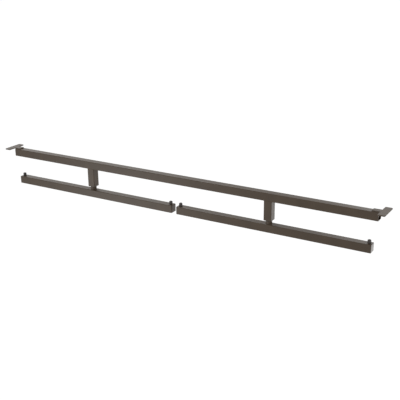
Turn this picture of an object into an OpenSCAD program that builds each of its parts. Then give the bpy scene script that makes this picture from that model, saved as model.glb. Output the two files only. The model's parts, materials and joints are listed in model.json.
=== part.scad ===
// Hanging closet rod with two swivelling lower rods, in millimetres.
// A square-tube beam hangs from a flat T plate at each end. Two posts under the beam each carry
// a square-tube rod at its middle, and each rod turns a full circle about its post.
// The origin is midway between the two plates, on the plane of their top faces.
// +X runs along the beam and +Z points up.

/* [Square tube] */
// Outer width of the tube of the beam, the posts and the rods
tube_w = 20; // [19.6:0.2:30]
// Wall of the tube
tube_wall = 1.2; // [0.8:0.1:1.4]
// Outer corner radius of the tube
tube_r = 1.5; // [1.5:0.1:4]

/* [Beam and posts] */
// Length of the beam
beam_len = 1035; // [1000:5:1400]
// Length of a post, from the beam's underside to the post's lower end
post_len = 47.5; // [30:0.5:120]

/* [Lower rods] */
// Length of a rod over its caps
rod_len = 500; // [400:5:560]
// Gap between the facing ends of the two rods
rod_gap = 13; // [4:1:40]

/* [Mounting plates] */
// Thickness of a plate
plate_t = 2.5; // [1.5:0.1:5]
// Width of the crossbar, along the beam
cross_w = 17; // [12:0.5:30]
// Length of the crossbar, across the beam
cross_len = 56; // [50:1:90]
// Gap between the beam's end and the crossbar
cross_gap = 2.5; // [0:0.5:5]
// Length of the stem that lies on the beam's top
stem_len = 16.5; // [12:0.5:40]
// Width of the stem
stem_w = 15; // [10:0.5:18]
// Corner radius of a plate
plate_r = 3; // [0.4:0.1:4]

/* [Swivel] */
// Height of the neck, from the post's lower end to the rod's top face
neck_h = 9.5; // [8.5:0.5:20]
// Outer diameter of the hub, which shows as the neck
hub_d = 15.5; // [14.4:0.1:17]
// Diameter of the shoulder that the rod turns on
shoulder_d = 8; // [6.5:0.5:10]
// Wall of a bush
bush_wall = 1.5; // [1:0.1:2]
// Length of a bush's sleeve
bush_len = 8; // [5:0.5:9]
// Thickness of a bush's flange
flange_t = 1; // [0.6:0.1:2]
// Thickness of the thrust washer under the post
thrust_washer_t = 1; // [0.6:0.1:2]
// Thickness of the steel washer on the bolt's head
head_washer_t = 1; // [0.6:0.1:1.6]
// Height of the plug in the post's lower end
post_plug_h = 14; // [12.5:0.5:24]

/* [Swivel bolt] */
// Diameter of the bolt's head
head_d = 12; // [11.6:0.1:13.4]
// Height of the bolt's head
head_h = 5.5; // [4:0.1:6.5]
// Nominal diameter of the bolt's thread
thread_d = 6; // [5:0.5:6.4]
// Length of the thread
thread_len = 12; // [8:0.5:13.5]
// Width of the hexagon socket across its flats
socket_w = 4; // [3:0.5:6]
// Depth of the hexagon socket
socket_depth = 3; // [2:0.1:3.8]
// Depth of the bolt's head above the rod's inner floor
head_recess = 1; // [0.8:0.1:2.5]

/* [Hanger pegs] */
// Diameter of a peg
peg_d = 8.5; // [6:0.5:12]
// Height of a peg above the rod
peg_h = 8.5; // [5:0.5:20]
// Radius of a peg's rounded top
peg_top_r = 2.5; // [1:0.1:4.3]
// Distance from a peg's centre to the rod's end
peg_inset = 8; // [7:0.5:30]
// Diameter of a peg's shank
shank_d = 5; // [3:0.5:6]
// Length of the shank's tip inside the cap
shank_tip = 2; // [1:0.1:4]

/* [Rod caps and bolt cover] */
// Thickness of a cap's face
cap_t = 1.5; // [1:0.1:4]
// Wall of a cap's plug
cap_wall = 3; // [1.5:0.1:4]
// Length of a cap's plug past the peg's shank
cap_past_shank = 4; // [2:0.5:12]
// Diameter of the cover under a rod
cover_d = 15; // [14:0.1:18]
// Thickness of the cover
cover_t = 0.8; // [0.5:0.1:2]

/* [Clearances] */
// Radial running clearance of a bush on the shoulder
bush_clearance = 0.05; // [0.02:0.01:0.1]
// Vertical play of a rod on its bolt
swivel_play = 0.2; // [0.1:0.05:0.5]
// Clearance between pieces that are fixed in each other
seat_clearance = 0.1; // [0.05:0.05:0.2]
// Radial clearance between a washer and the shoulder
washer_clearance = 0.15; // [0.1:0.05:0.3]
// Radial clearance of the bolt's head in the rod's underside
access_clearance = 0.2; // [0.1:0.05:0.4]
// Radial clearance of the bolt's head in the hub
head_clearance = 0.3; // [0.2:0.1:0.5]

/* [Hidden] */

$fn = 64;
// Sides along X, and a rod's two ends as seen from its post
left = -1;
right = 1;
outer = 1;
inner = -1;
// Distance that a cutting shape runs past the face that it cuts
past = 1;

tube_in = tube_w - 2 * tube_wall;
tube_in_r = tube_r - tube_wall;
swivel_x = (rod_len + rod_gap) / 2;

// Heights
beam_top = -plate_t;
beam_z = beam_top - tube_w / 2;
beam_under = beam_top - tube_w;
post_end = beam_under - post_len;
rod_top = post_end - neck_h;
rod_z = rod_top - tube_w / 2;
rod_floor = rod_top - tube_w + tube_wall;
rod_under = rod_top - tube_w;
thrust_under = post_end - thrust_washer_t;
hub_top = thrust_under - swivel_play - flange_t;
head_under = rod_floor + head_recess;
head_top = head_under + head_h;
washer_top = head_top + head_washer_t;
seat_z = washer_top + flange_t;

// The post's walls run up beside the beam's rounded lower edges, which leaves a flush joint
cope_h = tube_r / 2;

bush_bore_d = shoulder_d + 2 * bush_clearance;
bush_d = bush_bore_d + 2 * bush_wall;
hub_bore_d = bush_d + 2 * seat_clearance;
hub_recess_d = head_d + 2 * head_clearance;
washer_bore_d = shoulder_d + 2 * washer_clearance;
access_d = head_d + 2 * access_clearance;
thread_minor_d = thread_d - 2 * seat_clearance;
bolt_chamfer = 0.5;

cap_plug_w = tube_in - 2 * seat_clearance;
cap_plug_r = tube_in_r + seat_clearance;
cap_plug_len = peg_inset - cap_t + shank_d / 2 + cap_past_shank;
shank_len = tube_wall + seat_clearance + cap_wall + shank_tip;
shank_chamfer = 0.7;
peg_dome_r = min(peg_top_r, peg_d / 2 - 0.2);

bronze = [0.35, 0.32, 0.29];
bronze_plastic = [0.33, 0.30, 0.27];
black = [0.20, 0.19, 0.18];
black_nylon = [0.12, 0.12, 0.12];
zinc = [0.70, 0.71, 0.73];

// A square with rounded corners, centred
module rounded_square(size, r) {
    square([size - 2 * r, size], center = true);
    square([size, size - 2 * r], center = true);
    for (x = [-1, 1], y = [-1, 1])
        translate([x * (size / 2 - r), y * (size / 2 - r)])
            circle(r = r);
}

module tube_outline() {
    rounded_square(tube_w, tube_r);
}

module tube_section() {
    difference() {
        tube_outline();
        rounded_square(tube_in, tube_in_r);
    }
}

// Extrudes an outline along +X: its x becomes Y, and its y becomes Z
module along_x(length, center = false) {
    rotate([90, 0, 90])
        linear_extrude(length, center = center)
            children();
}

module flanged_bush(flange_d) {
    difference() {
        union() {
            cylinder(d = bush_d, h = bush_len);
            translate([0, 0, -flange_t])
                cylinder(d = flange_d, h = flange_t);
        }
        translate([0, 0, -flange_t - past])
            cylinder(d = bush_bore_d, h = bush_len + flange_t + 2 * past);
    }
}

module washer(outer_d, thickness) {
    difference() {
        cylinder(d = outer_d, h = thickness);
        translate([0, 0, -past])
            cylinder(d = washer_bore_d, h = thickness + 2 * past);
    }
}

module top_beam() {
    color(bronze)
        translate([0, 0, beam_z])
            along_x(beam_len, center = true)
                tube_section();
}

module mounting_plate() {
    color(bronze)
        translate([beam_len / 2 + cross_gap, 0, -plate_t])
            linear_extrude(plate_t) {
                translate([0, -cross_len / 2 + plate_r])
                    square([cross_w, cross_len - 2 * plate_r]);
                translate([plate_r, -cross_len / 2])
                    square([cross_w - 2 * plate_r, cross_len]);
                for (x = [plate_r, cross_w - plate_r], y = [-1, 1])
                    translate([x, y * (cross_len / 2 - plate_r)])
                        circle(r = plate_r);
                translate([-stem_len - cross_gap, -stem_w / 2])
                    square([stem_len + cross_gap + plate_r, stem_w]);
            }
}

module post() {
    color(bronze)
        difference() {
            translate([0, 0, post_end])
                linear_extrude(post_len + cope_h)
                    tube_section();
            translate([0, 0, beam_z])
                along_x(2 * tube_w, center = true)
                    tube_outline();
        }
}

module post_plug() {
    color(zinc)
        translate([0, 0, post_end])
            difference() {
                linear_extrude(post_plug_h)
                    rounded_square(tube_in - 2 * seat_clearance, tube_in_r + seat_clearance);
                translate([0, 0, -past])
                    cylinder(d = thread_d, h = post_plug_h + 2 * past);
            }
}

module swivel_bolt() {
    color(zinc)
        difference() {
            rotate_extrude()
                polygon([
                    [0, head_under],
                    [head_d / 2 - bolt_chamfer, head_under],
                    [head_d / 2, head_under + bolt_chamfer],
                    [head_d / 2, head_top],
                    [shoulder_d / 2, head_top],
                    [shoulder_d / 2, post_end],
                    [thread_minor_d / 2, post_end],
                    [thread_minor_d / 2, post_end + thread_len - bolt_chamfer],
                    [thread_minor_d / 2 - bolt_chamfer, post_end + thread_len],
                    [0, post_end + thread_len]
                ]);
            translate([0, 0, head_under - past])
                cylinder(r = socket_w / sqrt(3), h = socket_depth + past, $fn = 6);
        }
}

module thrust_washer() {
    color(black_nylon)
        translate([0, 0, thrust_under])
            washer(hub_d, thrust_washer_t);
}

module head_washer() {
    color(zinc)
        translate([0, 0, head_top])
            washer(head_d, head_washer_t);
}

module hub() {
    color(bronze)
        difference() {
            translate([0, 0, rod_floor])
                cylinder(d = hub_d, h = hub_top - rod_floor);
            translate([0, 0, rod_floor - past])
                cylinder(d = hub_bore_d, h = hub_top - rod_floor + 2 * past);
            translate([0, 0, rod_floor - past])
                cylinder(d = hub_recess_d, h = seat_z - rod_floor + past);
        }
}

module upper_bush() {
    color(black_nylon)
        translate([0, 0, hub_top])
            mirror([0, 0, 1])
                flanged_bush(hub_d);
}

module lower_bush() {
    color(black_nylon)
        translate([0, 0, seat_z])
            flanged_bush(head_d);
}

module rod() {
    color(bronze)
        difference() {
            translate([0, 0, rod_z])
                along_x(rod_len - 2 * cap_t, center = true)
                    tube_section();
            translate([0, 0, rod_z])
                cylinder(d = hub_d + 2 * seat_clearance, h = tube_w);
            translate([0, 0, rod_under - past])
                cylinder(d = access_d, h = tube_wall + 2 * past);
            for (end = [-1, 1])
                translate([end * (rod_len / 2 - peg_inset), 0, rod_z])
                    cylinder(d = shank_d + 2 * seat_clearance, h = tube_w);
        }
}

module bolt_cover() {
    color(bronze_plastic) {
        translate([0, 0, rod_under - cover_t])
            cylinder(d = cover_d, h = cover_t);
        translate([0, 0, rod_under])
            cylinder(d = access_d - 2 * seat_clearance, h = tube_wall);
    }
}

// The snap-in cap of the rod's +X end: a face and a hollow plug, which the peg's shank locks
module rod_cap() {
    color(bronze_plastic)
        translate([rod_len / 2 - cap_t, 0, rod_z]) {
            along_x(cap_t)
                tube_outline();
            difference() {
                translate([-cap_plug_len, 0, 0])
                    along_x(cap_plug_len)
                        rounded_square(cap_plug_w, cap_plug_r);
                translate([-cap_plug_len - past, 0, 0])
                    along_x(cap_plug_len - cap_wall + past)
                        square(cap_plug_w - 2 * cap_wall, center = true);
                translate([cap_t - peg_inset, 0, 0])
                    cylinder(d = shank_d + 2 * seat_clearance, h = tube_w / 2);
            }
        }
}

// The peg of the rod's +X end
module peg() {
    color(black)
        translate([rod_len / 2 - peg_inset, 0, rod_top])
            rotate_extrude() {
                square([peg_d / 2, peg_h - peg_dome_r]);
                square([peg_d / 2 - peg_dome_r, peg_h]);
                intersection() {
                    translate([peg_d / 2 - peg_dome_r, peg_h - peg_dome_r])
                        circle(r = peg_dome_r);
                    square([peg_d / 2, peg_h]);
                }
                polygon([
                    [0, -shank_len],
                    [shank_d / 2 - shank_chamfer, -shank_len],
                    [shank_d / 2, -shank_len + shank_chamfer],
                    [shank_d / 2, 0],
                    [0, 0]
                ]);
            }
}

// Turns a piece of the +X side or end to the one that is named
module face(direction) {
    rotate([0, 0, direction == right ? 0 : 180])
        children();
}

module at_swivel(side) {
    translate([side * swivel_x, 0, 0])
        children();
}

module at_rod_end(side, end) {
    at_swivel(side)
        face(side * end)
            children();
}

top_beam();
face(left) mounting_plate();  // mounting_plate_left
face(right) mounting_plate();  // mounting_plate_right
at_swivel(left) post();  // post_left
at_swivel(right) post();  // post_right
at_swivel(left) post_plug();  // post_plug_left
at_swivel(right) post_plug();  // post_plug_right
at_swivel(left) swivel_bolt();  // swivel_bolt_left
at_swivel(right) swivel_bolt();  // swivel_bolt_right
at_swivel(left) thrust_washer();  // thrust_washer_left
at_swivel(right) thrust_washer();  // thrust_washer_right
at_swivel(left) head_washer();  // head_washer_left
at_swivel(right) head_washer();  // head_washer_right
at_swivel(left) rod();  // rod_left
at_swivel(right) rod();  // rod_right
at_swivel(left) hub();  // hub_left
at_swivel(right) hub();  // hub_right
at_swivel(left) upper_bush();  // upper_bush_left
at_swivel(right) upper_bush();  // upper_bush_right
at_swivel(left) lower_bush();  // lower_bush_left
at_swivel(right) lower_bush();  // lower_bush_right
at_swivel(left) bolt_cover();  // bolt_cover_left
at_swivel(right) bolt_cover();  // bolt_cover_right
at_rod_end(left, outer) rod_cap();  // rod_cap_left_outer
at_rod_end(left, inner) rod_cap();  // rod_cap_left_inner
at_rod_end(right, inner) rod_cap();  // rod_cap_right_inner
at_rod_end(right, outer) rod_cap();  // rod_cap_right_outer
at_rod_end(left, outer) peg();  // peg_left_outer
at_rod_end(left, inner) peg();  // peg_left_inner
at_rod_end(right, inner) peg();  // peg_right_inner
at_rod_end(right, outer) peg();  // peg_right_outer
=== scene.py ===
"""The looks of the swivel closet rod: finishes, welds, moulded caps, plates, studio and camera.

Lengths are in metres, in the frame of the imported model: +X runs along the beam, +Z points up, and
the origin is midway between the two mounting plates, on the plane of their top faces.
"""

import json
import math

import bmesh
import bpy
from mathutils import Matrix, Vector, noise


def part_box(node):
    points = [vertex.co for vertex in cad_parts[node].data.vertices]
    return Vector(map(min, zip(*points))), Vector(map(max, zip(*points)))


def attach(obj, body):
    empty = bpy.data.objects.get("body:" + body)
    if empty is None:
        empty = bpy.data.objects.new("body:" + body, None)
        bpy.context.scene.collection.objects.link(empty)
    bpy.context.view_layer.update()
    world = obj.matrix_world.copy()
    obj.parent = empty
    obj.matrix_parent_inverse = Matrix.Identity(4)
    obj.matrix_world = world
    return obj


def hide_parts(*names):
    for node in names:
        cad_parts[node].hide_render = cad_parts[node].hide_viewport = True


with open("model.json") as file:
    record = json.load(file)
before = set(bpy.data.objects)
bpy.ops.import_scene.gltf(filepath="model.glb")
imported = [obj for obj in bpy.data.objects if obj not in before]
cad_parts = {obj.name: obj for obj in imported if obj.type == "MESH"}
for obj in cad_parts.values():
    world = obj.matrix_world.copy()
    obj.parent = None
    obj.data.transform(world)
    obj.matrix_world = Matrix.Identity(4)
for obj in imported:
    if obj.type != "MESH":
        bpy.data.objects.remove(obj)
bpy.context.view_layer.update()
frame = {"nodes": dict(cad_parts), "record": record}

MM = 0.001
SIDES = {"left": -1, "right": 1}
ENDS = (("left", "outer"), ("left", "inner"), ("right", "inner"), ("right", "outer"))
STEEL_BODY = "frame"
ROD_BODY = {"left": "left_rod", "right": "right_rod"}

# The square tube: half its width, its corner radius and its wall
TUBE_HALF = 10.0 * MM
TUBE_R = 1.5 * MM
TUBE_WALL = 1.2 * MM

# The face of a rod's moulded cap: its thickness, how far its sides stand in from the tube's, the
# radius of its edge, the height of its crown, and the sizes of the rings that the crown is made of,
# as shares of the flat
CAP_FACE = 1.5 * MM
CAP_INSET = 0.1 * MM
CAP_EDGE_R = 0.9 * MM
CAP_CROWN = 0.2 * MM
CROWN_SHARES = (0.8, 0.55, 0.25)

# The hollow plug behind that face, and the hole for the peg's shank in it
PLUG_WALL = 3.0 * MM
PLUG_CLEARANCE = 0.1 * MM
PLUG_R = 0.4 * MM
PLUG_LEAD_IN = 0.5 * MM
SHANK_HOLE_R = 2.6 * MM
PEG_INSET = 8.0 * MM

# The bolt covers
COVER_EDGE_R = 0.5 * MM
COVER_STEM_R = 6.1 * MM
COVER_LEAD_IN = 0.3 * MM

# The mounting plates: the softening of their edges, their corners' radius, and the widths of the
# crossbar and the stem
PLATE_EDGE = 0.35 * MM
PLATE_R = 3.0 * MM
PLATE_CROSS = 17.0 * MM
PLATE_STEM_W = 15.0 * MM

# The welds: the legs of the fillets at the posts, the plates' stems and the necks, and how far the
# fillets' faces bulge, as a share of the leg
POST_LEG = 1.6 * MM
SEAM_LEG = 0.9 * MM
RING_LEG = 1.0 * MM
BEAD_BELLY = 0.08

# The ripple along a weld: its height and pitch, the share of that height that its even wave has, and
# how far its slow wander moves on in one pitch
RIPPLE = 0.10 * MM
RIPPLE_PITCH = 1.6 * MM
RIPPLE_WAVE = 0.5
RIPPLE_WANDER = 0.6

# The ends of a straight weld: their leg as a share of the full one, and how fast it grows from there
BEAD_END = 0.35
BEAD_GROWTH = 4

# The ripple of a weld is seeded by the weld's place, times these
POST_SEED = 100
SEAM_SEED_ALONG = 10
SEAM_SEED_ACROSS = 30
RING_SEED = 50

# Steps in a quarter turn of a corner and of a rim, over a plate's softened edge, across a weld and
# in one pitch of its ripple, and round a cover, a hole and a ring weld
CORNER_STEPS = 8
RIM_STEPS = 6
PLATE_EDGE_STEPS = 3
BEAD_STEPS = 6
RIPPLE_STEPS = 4
COVER_STEPS = 64
HOLE_STEPS = 40
RING_STEPS = 96

# Angles in degrees: the bends beyond which an edge is shaded sharp, and beyond which an edge of a
# plate is softened
MOULDED_SHARP = 30
PLATE_SHARP = 14
BEAD_SHARP = 50
PLATE_RIM = 60

# The parts of a noise's range that a colour and a roughness run over
COLOUR_BAND = (0.35, 0.65)
ROUGHNESS_BAND = (0.3, 0.7)

# The photograph's camera: its place, its direction in degrees, its focal length and sensor's width in
# millimetres, and how far it sees
CAMERA_AT = Vector((0.9839, -1.5336, 0.5805))
CAMERA_YAW = 30.788
CAMERA_PITCH = 19.568
CAMERA_ROLL = -0.538
CAMERA_LENS = 70.056
SENSOR_WIDTH = 36.0
CAMERA_REACH = 200.0

# The floor: its distance below the plates' tops, its edges, its whiteness, roughness and glow
FLOOR_DROP = 1.2
FLOOR_X = (-30.0, 1.8)
FLOOR_Y = (-0.6, 30.0)
FLOOR_WHITE = 0.3
FLOOR_ROUGHNESS = 0.9
FLOOR_GLOW = 0.78

# The studio's walls: how they glow on the object, and how white they look behind it
SURROUND_GLOW = 0.7
BACKDROP_WHITE = 1.0

# What the lights aim at: the middle of the object, and two points at the height of its rods, one left
# of the middle and one near the right end
MIDDLE = Vector((0, 0, -0.05))
LEFT_ROD = Vector((-0.15, 0, -0.08))
RIGHT_END = Vector((0.45, 0, -0.08))


def finish_piece(name, bm, body, slot, sharp_deg, replaces=()):
    """Turns a bmesh into a shaded piece that rides on a body."""
    bmesh.ops.recalc_face_normals(bm, faces=bm.faces)
    mesh = bpy.data.meshes.new(name)
    bm.to_mesh(mesh)
    bm.free()
    mesh.shade_smooth()
    mesh.set_sharp_from_angle(angle=math.radians(sharp_deg))
    mesh.materials.append(MATERIALS[slot])
    piece = bpy.data.objects.new(name, mesh)
    bpy.context.scene.collection.objects.link(piece)
    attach(piece, body)
    if replaces:
        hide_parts(*replaces)
    return piece


def skin(bm, rows, closed=False):
    """Joins rows of vertices by quads, round each row, and from the last to the first if closed."""
    pairs = list(zip(rows, rows[1:]))
    if closed:
        pairs.append((rows[-1], rows[0]))
    count = len(rows[0])
    for a, b in pairs:
        for i in range(count):
            j = (i + 1) % count
            bm.faces.new((a[i], a[j], b[j], b[i]))


def loft(bm, rings):
    """Joins rings of points into a closed skin, with a flat face at each end."""
    rows = [[bm.verts.new(p) for p in ring] for ring in rings]
    skin(bm, rows)
    bm.faces.new(rows[0])
    bm.faces.new(rows[-1])


def circle(steps):
    """The angles of a full turn, in that many equal steps."""
    return [2 * math.pi * k / steps for k in range(steps)]


def quarter_arc(steps):
    """The angles of a quarter turn, both ends included."""
    return [math.pi / 2 * k / steps for k in range(steps + 1)]


def rounded_square(half, r):
    """Points (u, v) round a square of that half width and corner radius."""
    points = []
    for quarter in range(4):
        centre = Vector((half - r, half - r))
        for a in quarter_arc(CORNER_STEPS):
            p = centre + r * Vector((math.cos(a), math.sin(a)))
            for _ in range(quarter):
                p = Vector((-p.y, p.x))
            points.append(p)
    return points


def lathe(bm, centre, profile, steps):
    """Turns (radius, height) points about a vertical axis. The first and last points lie on it."""
    rings = [[centre + Vector((r * math.cos(a), r * math.sin(a), z)) for a in circle(steps)]
             for r, z in profile[1:-1]]
    loft(bm, rings)


# Materials


def new_material(name):
    """An empty node material with its output and main shader."""
    material = bpy.data.materials.new(name)
    material.use_nodes = True
    nodes = material.node_tree.nodes
    nodes.clear()
    out = nodes.new("ShaderNodeOutputMaterial")
    shader = nodes.new("ShaderNodeBsdfPrincipled")
    material.node_tree.links.new(shader.outputs["BSDF"], out.inputs["Surface"])
    return material, nodes, material.node_tree.links, shader


def object_noise(nodes, links, scale, detail):
    """Noise in the part's own coordinates, with scale in cycles a metre."""
    coordinates = nodes.new("ShaderNodeTexCoord")
    texture = nodes.new("ShaderNodeTexNoise")
    texture.inputs["Scale"].default_value = scale
    texture.inputs["Detail"].default_value = detail
    links.new(coordinates.outputs["Object"], texture.inputs["Vector"])
    return texture.outputs["Fac"]


def tint(nodes, links, value, low, high):
    """A colour that runs from low to high as value does."""
    ramp = nodes.new("ShaderNodeValToRGB")
    for element, position, colour in zip(ramp.color_ramp.elements, COLOUR_BAND, (low, high)):
        element.position = position
        element.color = (*colour, 1)
    links.new(value, ramp.inputs["Fac"])
    return ramp.outputs["Color"]


def vary(nodes, links, value, low, high):
    """A roughness that runs from low to high as value does."""
    span = nodes.new("ShaderNodeMapRange")
    span.inputs["From Min"].default_value, span.inputs["From Max"].default_value = ROUGHNESS_BAND
    span.inputs["To Min"].default_value = low
    span.inputs["To Max"].default_value = high
    links.new(value, span.inputs["Value"])
    return span.outputs["Result"]


def bump(nodes, links, height, distance, normal=None):
    """A normal that is raised by height times distance."""
    node = nodes.new("ShaderNodeBump")
    node.inputs["Strength"].default_value = 1.0
    node.inputs["Distance"].default_value = distance
    links.new(height, node.inputs["Height"])
    if normal is not None:
        links.new(normal, node.inputs["Normal"])
    return node.outputs["Normal"]


def powder_coat(name, rough_low, rough_high):
    """Satin dark bronze powder coat: orange peel, fine grain and faint mottling."""
    material, nodes, links, shader = new_material(name)
    mottle = object_noise(nodes, links, scale=35.0, detail=3.0)
    grain = object_noise(nodes, links, scale=2600.0, detail=1.0)
    peel = object_noise(nodes, links, scale=650.0, detail=1.5)
    colour = tint(nodes, links, mottle, low=(0.060, 0.0385, 0.021), high=(0.070, 0.0455, 0.025))
    links.new(colour, shader.inputs["Base Color"])
    links.new(vary(nodes, links, grain, rough_low, rough_high), shader.inputs["Roughness"])
    raised = bump(nodes, links, peel, distance=0.05 * MM)
    raised = bump(nodes, links, grain, distance=0.008 * MM, normal=raised)
    links.new(raised, shader.inputs["Normal"])
    return material


def moulded_plastic(name, low, high, rough_low, rough_high):
    """Moulded plastic with cloudy colour and a fine spark-eroded grain."""
    material, nodes, links, shader = new_material(name)
    cloud = object_noise(nodes, links, scale=120.0, detail=2.0)
    grain = object_noise(nodes, links, scale=3200.0, detail=1.0)
    links.new(tint(nodes, links, cloud, low, high), shader.inputs["Base Color"])
    links.new(vary(nodes, links, grain, rough_low, rough_high), shader.inputs["Roughness"])
    links.new(bump(nodes, links, grain, distance=0.010 * MM), shader.inputs["Normal"])
    return material


def bronze_plastic():
    """Dark bronze plastic with a sheen, to match the coat."""
    return moulded_plastic("bronze_moulded_plastic",
                           low=(0.052, 0.0335, 0.022), high=(0.062, 0.0405, 0.027),
                           rough_low=0.24, rough_high=0.30)


def black_plastic():
    """Matt plastic, near black."""
    return moulded_plastic("black_moulded_plastic",
                           low=(0.050, 0.043, 0.039), high=(0.060, 0.051, 0.047),
                           rough_low=0.42, rough_high=0.50)


def black_nylon():
    """Semi-matt black nylon."""
    return moulded_plastic("black_nylon",
                           low=(0.020, 0.019, 0.019), high=(0.028, 0.027, 0.026),
                           rough_low=0.40, rough_high=0.48)


def zinc_steel():
    """Bright zinc plate over turned steel."""
    material, nodes, links, shader = new_material("zinc_plated_steel")
    shader.inputs["Metallic"].default_value = 1.0
    cloud = object_noise(nodes, links, scale=260.0, detail=4.0)
    grain = object_noise(nodes, links, scale=1800.0, detail=2.0)
    colour = tint(nodes, links, cloud, low=(0.56, 0.57, 0.60), high=(0.68, 0.69, 0.70))
    links.new(colour, shader.inputs["Base Color"])
    links.new(vary(nodes, links, cloud, low=0.26, high=0.40), shader.inputs["Roughness"])
    links.new(bump(nodes, links, grain, distance=0.006 * MM), shader.inputs["Normal"])
    return material


# By the record's slots. The plates' coat is a little duller than the tubes'
MATERIALS = {
    "powder_coat": powder_coat("tube_powder_coat", rough_low=0.33, rough_high=0.40),
    "bronze_plastic": bronze_plastic(),
    "black_plastic": black_plastic(),
    "black_nylon": black_nylon(),
    "zinc_steel": zinc_steel(),
}
PLATE_COAT = powder_coat("plate_powder_coat", rough_low=0.39, rough_high=0.46)


def dress_cad_nodes():
    """Gives each carried-over CAD node the finish of its slot in the record."""
    for part in frame["record"]["subparts"]:
        node = frame["nodes"][part["node"]]
        node.data.materials.clear()
        node.data.materials.append(MATERIALS[part["material_slot"]])


# Pieces


def cap_profile(depth, half):
    """(distance behind the face, half width, corner radius), from the plug's hollow outwards."""
    plug_half = half - TUBE_WALL - PLUG_CLEARANCE
    hollow_half = plug_half - PLUG_WALL
    head_half = half - CAP_INSET
    profile = [
        (CAP_FACE + PLUG_WALL, hollow_half, PLUG_R),
        (depth, hollow_half, PLUG_R),
        (depth, plug_half - PLUG_LEAD_IN, PLUG_R),
        (depth - PLUG_LEAD_IN, plug_half, PLUG_R),
        (CAP_FACE, plug_half, PLUG_R),
        (CAP_FACE, head_half, TUBE_R),
    ]
    for a in quarter_arc(RIM_STEPS):
        inset = CAP_EDGE_R * (1 - math.cos(a))
        behind = CAP_CROWN + CAP_EDGE_R * (1 - math.sin(a))
        profile.append((behind, head_half - inset, TUBE_R - inset / 2))
    for share in CROWN_SHARES:
        flat_half = (head_half - CAP_EDGE_R) * share
        profile.append((CAP_CROWN * share ** 2, flat_half, TUBE_R * share / 2))
    return profile


def rod_cap(side, end):
    """A moulded rod cap: a hollow plug and a face with a rounded edge and a slight crown."""
    node = "rod_cap_%s_%s" % (side, end)
    direction = SIDES[side] * (1 if end == "outer" else -1)
    lo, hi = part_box(node)
    face_x, back_x = (hi.x, lo.x) if direction > 0 else (lo.x, hi.x)
    half = (hi.z - lo.z) / 2
    centre_z = (lo.z + hi.z) / 2
    rings = []
    for behind, size, r in cap_profile(abs(face_x - back_x), half):
        x = face_x - direction * behind
        rings.append([Vector((x, p.x, centre_z + p.y)) for p in rounded_square(size, r)])
    bm = bmesh.new()
    loft(bm, rings)
    piece = finish_piece(node + "_moulded", bm, ROD_BODY[side], "bronze_plastic", MOULDED_SHARP, (node,))
    drill(piece, Vector((face_x - direction * PEG_INSET, 0, centre_z)), half)


def drill(piece, foot, height):
    """Cuts the vertical hole that a peg's shank passes through."""
    bm = bmesh.new()
    lathe(bm, foot, [(0, 0), (SHANK_HOLE_R, 0), (SHANK_HOLE_R, height), (0, height)], HOLE_STEPS)
    bmesh.ops.recalc_face_normals(bm, faces=bm.faces)
    mesh = bpy.data.meshes.new("drill")
    bm.to_mesh(mesh)
    bm.free()
    tool = bpy.data.objects.new("drill", mesh)
    bpy.context.scene.collection.objects.link(tool)
    cut = piece.modifiers.new("shank_hole", "BOOLEAN")
    cut.operation = "DIFFERENCE"
    cut.solver = "EXACT"
    cut.object = tool
    apply_modifiers(piece)
    bpy.data.objects.remove(tool)


def apply_modifiers(piece):
    """Replaces the piece's mesh by what its modifiers make of it."""
    bpy.context.view_layer.update()
    graph = bpy.context.evaluated_depsgraph_get()
    mesh = bpy.data.meshes.new_from_object(piece.evaluated_get(graph))
    piece.modifiers.clear()
    piece.data = mesh


def plate_outline(outer_x, stem_x, direction, half):
    """The corners (x, y, radius) of the T plate, seen from above."""
    cross_x = outer_x - direction * PLATE_CROSS
    stem = PLATE_STEM_W / 2
    return [
        (outer_x, -half, PLATE_R), (outer_x, half, PLATE_R),
        (cross_x, half, PLATE_R), (cross_x, stem, 0),
        (stem_x, stem, 0), (stem_x, -stem, 0),
        (cross_x, -stem, 0), (cross_x, -half, PLATE_R),
    ]


def rounded_outline(corners):
    """Points of a closed outline, with each corner (x, y, radius) rounded."""
    points = []
    count = len(corners)
    for i, (x, y, r) in enumerate(corners):
        here = Vector((x, y))
        if r == 0:
            points.append(here)
            continue
        before = (Vector(corners[i - 1][:2]) - here).normalized()
        after = (Vector(corners[(i + 1) % count][:2]) - here).normalized()
        centre = here + r * (before + after)
        for a in quarter_arc(CORNER_STEPS):
            points.append(centre - r * (math.cos(a) * after + math.sin(a) * before))
    return points


def mounting_plate(side, direction):
    """The laser-cut T plate, with softened edges."""
    node = "mounting_plate_" + side
    lo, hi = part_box(node)
    outer_x, stem_x = (hi.x, lo.x) if direction > 0 else (lo.x, hi.x)
    outline = rounded_outline(plate_outline(outer_x, stem_x, direction, hi.y))
    bm = bmesh.new()
    bm.faces.new([bm.verts.new((p.x, p.y, lo.z)) for p in outline])
    made = bmesh.ops.extrude_face_region(bm, geom=list(bm.faces))
    raised = [v for v in made["geom"] if isinstance(v, bmesh.types.BMVert)]
    bmesh.ops.translate(bm, vec=(0, 0, hi.z - lo.z), verts=raised)
    bmesh.ops.recalc_face_normals(bm, faces=bm.faces)
    rims = [e for e in bm.edges if e.calc_face_angle(0) > math.radians(PLATE_RIM)
            and e.verts[0].co.z == e.verts[1].co.z]
    bmesh.ops.bevel(bm, geom=rims, offset=PLATE_EDGE, segments=PLATE_EDGE_STEPS, profile=0.5,
                    affect="EDGES")
    piece = finish_piece(node + "_sheet", bm, STEEL_BODY, "powder_coat", PLATE_SHARP, (node,))
    piece.data.materials[0] = PLATE_COAT


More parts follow.
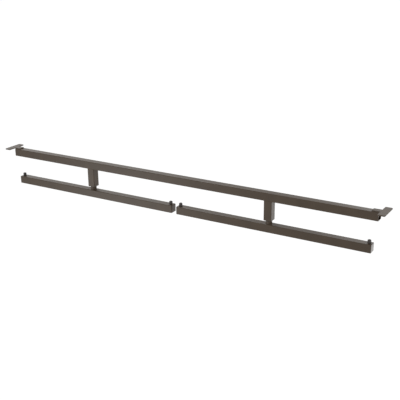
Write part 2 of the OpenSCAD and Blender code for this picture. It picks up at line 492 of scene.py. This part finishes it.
def bolt_cover(side):
    """The snap-in cover under a rod: a thin flange with a rounded rim and a short stem."""
    node = "bolt_cover_" + side
    lo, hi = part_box(node)
    rod_lo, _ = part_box("rod_" + side)
    centre = Vector(((lo.x + hi.x) / 2, 0, 0))
    radius = (hi.x - lo.x) / 2
    profile = [
        (0, hi.z), (COVER_STEM_R - COVER_LEAD_IN, hi.z), (COVER_STEM_R, hi.z - COVER_LEAD_IN),
        (COVER_STEM_R, rod_lo.z), (radius, rod_lo.z),
    ]
    for a in quarter_arc(RIM_STEPS):
        rim_r = radius - COVER_EDGE_R * (1 - math.cos(a))
        rim_z = lo.z + COVER_EDGE_R * (1 - math.sin(a))
        profile.append((rim_r, rim_z))
    profile.append((0, lo.z))
    bm = bmesh.new()
    lathe(bm, centre, profile, COVER_STEPS)
    finish_piece(node + "_moulded", bm, ROD_BODY[side], "bronze_plastic", MOULDED_SHARP, (node,))


# Welds


def tube_drop(y):
    """How far the tube's top lies below its flat at that distance across it."""
    beyond = abs(y) - (TUBE_HALF - TUBE_R)
    if beyond <= 0:
        return 0.0
    return TUBE_R - math.sqrt(max(TUBE_R ** 2 - beyond ** 2, 0.0))


def bead_section(leg):
    """A fillet's outline: (out from the wall, up from the base), slightly convex."""
    belly = BEAD_BELLY * leg
    points = [Vector((0, 0)), Vector((leg, 0))]
    for step in range(1, BEAD_STEPS):
        share = step / BEAD_STEPS
        bulge = belly * math.sin(math.pi * share)
        points.append(Vector((leg * (1 - share) + bulge, leg * share + bulge)))
    points.append(Vector((0, leg)))
    return points


def ripple(distance, seed):
    """The small rise and fall of a weld's surface along its length."""
    wave = RIPPLE_WAVE * math.sin(2 * math.pi * distance / RIPPLE_PITCH)
    wander = noise.noise(Vector((distance / RIPPLE_PITCH * RIPPLE_WANDER, seed, 0)))
    return RIPPLE * (wave + wander)


def straight_bead(name, start, end, out, up, leg, seed):
    """A fillet weld along a straight seam of the fixed steel, thinner at both ends."""
    length = (end - start).length
    steps = int(length / (RIPPLE_PITCH / RIPPLE_STEPS))
    rings = []
    for k in range(steps + 1):
        share = k / steps
        taper = min(1.0, BEAD_END + BEAD_GROWTH * min(share, 1 - share))
        grow = 1 + ripple(share * length, seed) / leg
        at = start.lerp(end, share)
        rings.append([at + (out * p.x + up * p.y) * grow for p in bead_section(leg * taper)])
    bm = bmesh.new()
    loft(bm, rings)
    finish_piece(name, bm, STEEL_BODY, "powder_coat", BEAD_SHARP)


def post_welds(side):
    """The two fillets where a post meets the beam's underside, on its left and right faces."""
    lo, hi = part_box("post_" + side)
    beam_lo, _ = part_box("top_beam")
    reach = hi.y - TUBE_R
    for face, x, out in (("minus", lo.x, -1), ("plus", hi.x, 1)):
        straight_bead("weld_post_%s_%s" % (side, face),
                      Vector((x, -reach, beam_lo.z)), Vector((x, reach, beam_lo.z)),
                      Vector((out, 0, 0)), Vector((0, 0, -1)), POST_LEG, x * POST_SEED)


def plate_welds(side, direction):
    """The seams along the stem of a T plate, on the beam's top."""
    lo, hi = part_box("mounting_plate_" + side)
    beam_lo, beam_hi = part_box("top_beam")
    start_x, end_x = (lo.x, beam_hi.x) if direction > 0 else (hi.x, beam_lo.x)
    for where, out in (("front", -1), ("back", 1)):
        y = out * PLATE_STEM_W / 2
        seed = out * SEAM_SEED_ACROSS + start_x * SEAM_SEED_ALONG
        straight_bead("weld_plate_%s_%s" % (side, where),
                      Vector((start_x, y, beam_hi.z)), Vector((end_x, y, beam_hi.z)),
                      Vector((0, out, 0)), Vector((0, 0, 1)), SEAM_LEG, seed)


def hub_weld(side):
    """The ring weld round the neck, where the hub passes through the rod's top."""
    lo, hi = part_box("hub_" + side)
    _, rod_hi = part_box("rod_" + side)
    centre = Vector(((lo.x + hi.x) / 2, 0, rod_hi.z))
    radius = (hi.x - lo.x) / 2
    bm = bmesh.new()
    rows = []
    for a in circle(RING_STEPS):
        out = Vector((math.cos(a), math.sin(a), 0))
        grow = 1 + ripple(a * radius, lo.x * RING_SEED) / RING_LEG
        row = []
        for p in bead_section(RING_LEG):
            at = centre + out * (radius + p.x * grow) + Vector((0, 0, p.y * grow))
            at.z -= tube_drop(at.y) * (1 - p.y / RING_LEG)
            row.append(bm.verts.new(at))
        rows.append(row)
    skin(bm, rows, closed=True)
    finish_piece("weld_hub_" + side, bm, ROD_BODY[side], "powder_coat", BEAD_SHARP)


# Studio


def make_camera():
    """The photograph's view, found from the object's edges in it."""
    data = bpy.data.cameras.new("camera")
    data.lens = CAMERA_LENS
    data.sensor_width = SENSOR_WIDTH
    data.clip_end = CAMERA_REACH
    camera = bpy.data.objects.new("camera", data)
    bpy.context.scene.collection.objects.link(camera)
    camera.matrix_world = (
        Matrix.Translation(CAMERA_AT)
        @ Matrix.Rotation(math.radians(CAMERA_YAW), 4, "Z")
        @ Matrix.Rotation(math.radians(90 - CAMERA_PITCH), 4, "X")
        @ Matrix.Rotation(math.radians(CAMERA_ROLL), 4, "Z")
    )
    bpy.context.scene.camera = camera


def area_light(name, at, aim, size, power):
    """A soft rectangular light that faces a point, with its size in metres and power in watts."""
    data = bpy.data.lights.new(name, "AREA")
    data.shape = "RECTANGLE"
    data.size, data.size_y = size
    data.energy = power
    lamp = bpy.data.objects.new(name, data)
    bpy.context.scene.collection.objects.link(lamp)
    lamp.location = at
    lamp.rotation_mode = "QUATERNION"
    lamp.rotation_quaternion = (aim - Vector(at)).to_track_quat("-Z", "Y")
    lamp.visible_camera = False


def make_floor():
    """A white light table far below the hanging part, which reaches far behind and to its left."""
    bm = bmesh.new()
    (x0, x1), (y0, y1) = FLOOR_X, FLOOR_Y
    bm.faces.new([bm.verts.new((x, y, -FLOOR_DROP))
                  for x, y in ((x0, y0), (x1, y0), (x1, y1), (x0, y1))])
    mesh = bpy.data.meshes.new("floor")
    bm.to_mesh(mesh)
    bm.free()
    floor = bpy.data.objects.new("floor", mesh)
    bpy.context.scene.collection.objects.link(floor)
    material, _, _, shader = new_material("white_table")
    shader.inputs["Base Color"].default_value = (FLOOR_WHITE, FLOOR_WHITE, FLOOR_WHITE, 1)
    shader.inputs["Roughness"].default_value = FLOOR_ROUGHNESS
    shader.inputs["Emission Color"].default_value = (1, 1, 1, 1)
    shader.inputs["Emission Strength"].default_value = FLOOR_GLOW
    mesh.materials.append(material)


def make_surround():
    """The studio's walls: a pale grey glow on the object, and plain white as a backdrop."""
    world = bpy.data.worlds.new("pale_surround")
    bpy.context.scene.world = world
    world.use_nodes = True
    nodes = world.node_tree.nodes
    links = world.node_tree.links
    background = nodes["Background"]
    background.inputs["Color"].default_value = (1, 1, 1, 1)
    ray = nodes.new("ShaderNodeLightPath")
    strength = nodes.new("ShaderNodeMapRange")
    strength.inputs["To Min"].default_value = SURROUND_GLOW
    strength.inputs["To Max"].default_value = BACKDROP_WHITE
    links.new(ray.outputs["Is Camera Ray"], strength.inputs["Value"])
    links.new(strength.outputs["Result"], background.inputs["Strength"])


def make_lights():
    """Five soft lights: three behind, one low in front, and a small one close behind the right end."""
    area_light("high_back_light", at=(-1.3, 1.3, 1.79), aim=MIDDLE, size=(0.8, 0.8), power=14.8)
    area_light("back_light", at=(0, 2.44, 0.84), aim=MIDDLE, size=(0.8, 0.8), power=2.1)
    area_light("low_back_light", at=(-2.12, 1.22, 0.84), aim=MIDDLE, size=(0.8, 0.8), power=1.44)
    area_light("front_light", at=(-1.0, -1.17, -0.59), aim=LEFT_ROD, size=(0.5, 0.5), power=1.87)
    area_light("end_light", at=(0.6, 0.38, -0.24), aim=RIGHT_END, size=(0.36, 0.28), power=0.28)


make_camera()
dress_cad_nodes()
for side, direction in SIDES.items():
    mounting_plate(side, direction)
    bolt_cover(side)
    post_welds(side)
    plate_welds(side, direction)
    hub_weld(side)
for side, end in ENDS:
    rod_cap(side, end)
bpy.context.scene.view_settings.view_transform = "Standard"
make_floor()
make_surround()
make_lights()
